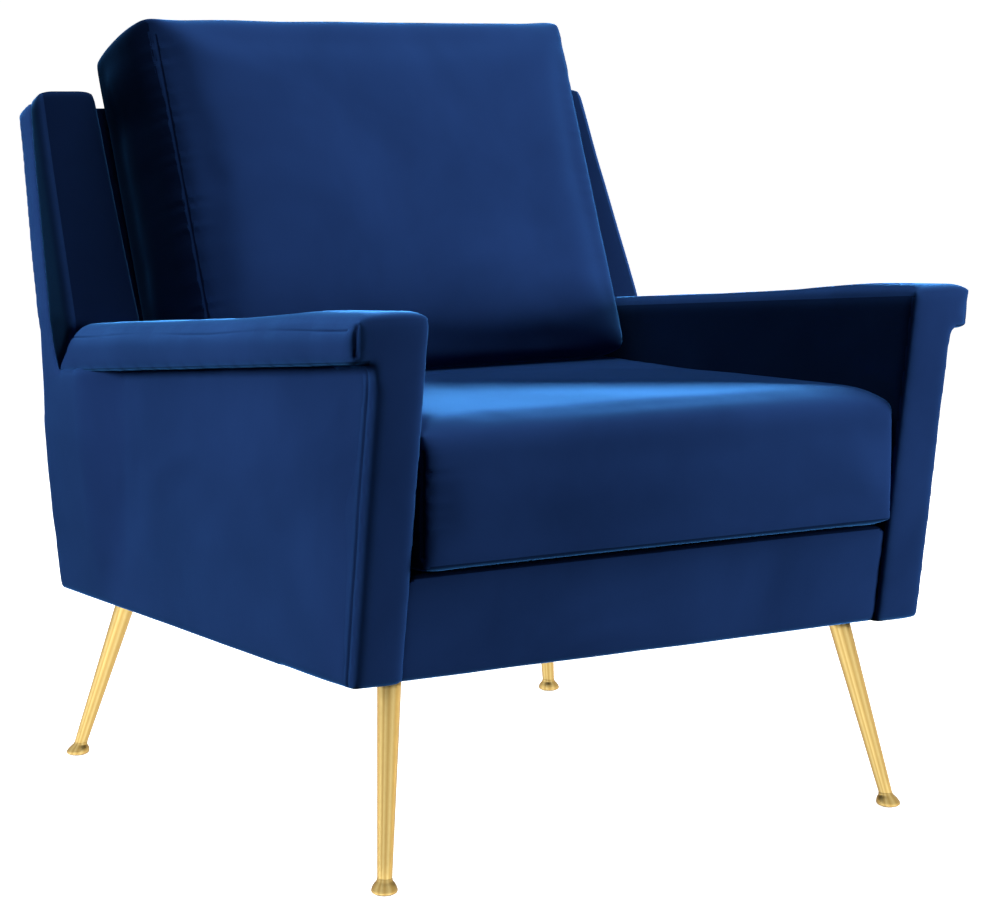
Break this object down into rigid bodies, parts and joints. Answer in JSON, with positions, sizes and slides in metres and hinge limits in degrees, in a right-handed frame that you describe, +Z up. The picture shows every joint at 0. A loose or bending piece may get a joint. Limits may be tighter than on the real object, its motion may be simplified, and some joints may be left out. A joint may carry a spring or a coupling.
{
  "type": "upholstered armchair",
  "caption": "Low lounge armchair with velvet upholstered frame, sloping padded arms, loose box seat and back cushions, and splayed tapered brass legs.",
  "frame": {"origin": "on the floor, at the centre of the chair's bounding box", "axes": "+Z up, the chair faces -Y, +X is to the right of a person looking at its front"},
  "size_m": [0.79, 0.8094, 0.8822],
  "materials": {
    "velvet": "matte",
    "timber": "matte",
    "plated_steel": "satin",
    "spring_wire": "satin",
    "webbing": "matte",
    "felt": "matte",
    "deck_cloth": "matte",
    "dust_cloth": "matte",
    "foam": "matte",
    "zip_tape": "matte",
    "zip_metal": "satin",
    "brass": "satin",
    "glide": "matte"
  },
  "bodies": {
    "frame": {"arm_cap_pad_left": "velvet", "arm_cap_pad_right": "velvet", "arm_front_pad_left": "velvet", "arm_front_pad_right": "velvet", "arm_top_board_left": "timber", "arm_top_board_right": "timber", "back_lower_rail": "timber", "back_top_rail": "timber", "back_webbing": "webbing", "corner_block_screws": "plated_steel", "corner_blocks": "timber", "dust_cover": "dust_cloth", "foot_front_left": "brass", "foot_front_right": "brass", "foot_rear_left": "brass", "foot_rear_right": "brass", "front_post_left": "timber", "front_post_right": "timber", "front_rail": "timber", "front_rail_pad": "velvet", "glides": "glide", "inside_arm_pad_left": "velvet", "inside_arm_pad_right": "velvet", "inside_back_panel": "velvet", "leg_front_left": "brass", "leg_front_right": "brass", "leg_plate_screws": "plated_steel", "leg_plates": "plated_steel", "leg_rear_left": "brass", "leg_rear_right": "brass", "leg_studs": "plated_steel", "outside_arm_panel_left": "velvet", "outside_arm_panel_right": "velvet", "outside_back_panel": "velvet", "rear_rail": "timber", "rear_upright_left": "timber", "rear_upright_right": "timber", "seat_deck": "deck_cloth", "seat_springs": "spring_wire", "side_rail_left": "timber", "side_rail_right": "timber", "spring_clips": "plated_steel", "spring_felt": "felt", "spring_rail": "timber", "wing_pad_left": "velvet", "wing_pad_right": "velvet"},
    "seat_cushion": {"seat_cushion_core": "foam", "seat_cushion_cover": "velvet", "seat_cushion_zip": "zip_tape"},
    "seat_zip_slider": {"seat_zip_slider": "zip_metal"},
    "back_cushion": {"back_cushion_core": "foam", "back_cushion_cover": "velvet", "back_cushion_zip": "zip_tape"},
    "back_zip_slider": {"back_zip_slider": "zip_metal"}
  },
  "joints": [
    {"name": "seat_cushion_slide", "type": "slide", "parent": "frame", "child": "seat_cushion", "axis": [0, -1, 0], "range_m": [0, 0.62]},
    {"name": "back_cushion_lift", "type": "slide", "parent": "frame", "child": "back_cushion", "axis": [0, 0.3666, 0.9304], "range_m": [0, 0.4]},
    {"name": "seat_zip", "type": "slide", "parent": "seat_cushion", "child": "seat_zip_slider", "axis": [-1, 0, 0], "range_m": [0, 0.434]},
    {"name": "back_zip", "type": "slide", "parent": "back_cushion", "child": "back_zip_slider", "axis": [-1, 0, 0], "range_m": [0, 0.434]}
  ]
}
